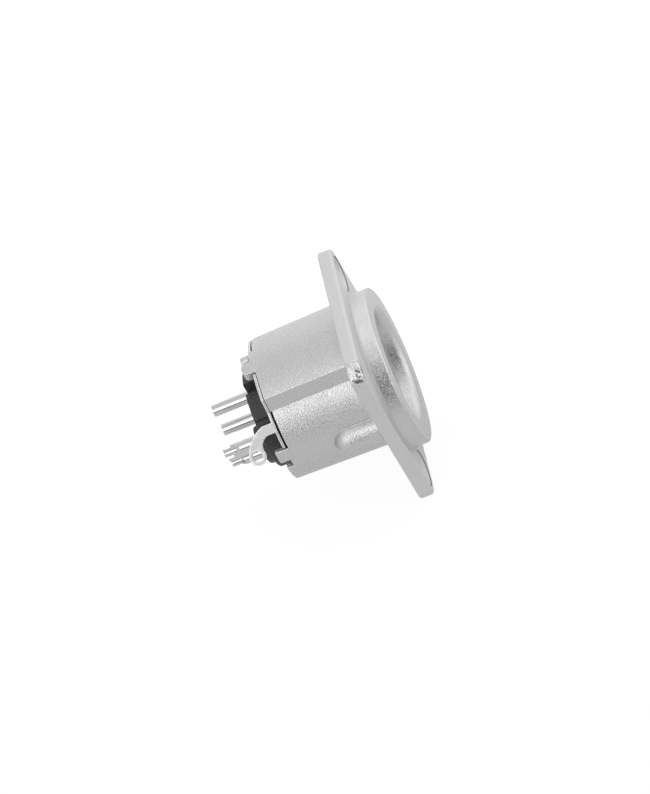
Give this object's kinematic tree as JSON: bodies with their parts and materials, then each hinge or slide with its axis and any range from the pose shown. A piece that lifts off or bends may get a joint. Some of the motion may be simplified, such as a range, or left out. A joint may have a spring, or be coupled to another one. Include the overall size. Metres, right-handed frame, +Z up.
{
  "type": "xlr panel socket",
  "caption": "Round male panel connector: plated cast shell with a rectangular flange and front ring, insulator, pins with solder cups, and a rear earth plate with a solder lug.",
  "frame": {"origin": "centre of the flange's back face, on the axis of the bore", "axes": "+Y to the rear along the bore, +Z up towards the latch side, +X to the right seen from the front"},
  "size_m": [0.026, 0.0279, 0.031],
  "materials": {
    "cast_shell": "satin nickel plate over die-cast zinc",
    "insulator": "moulded black glass-filled nylon",
    "sheet_plate": "nickel-plated sheet",
    "contacts": "bright tin plate over turned brass"
  },
  "bodies": {
    "root": {"shell": "cast_shell", "insulator": "insulator", "ground_plate": "sheet_plate", "contact_1": "contacts", "contact_2": "contacts", "contact_3": "contacts", "contact_4": "contacts", "contact_5": "contacts"}
  },
  "joints": []
}
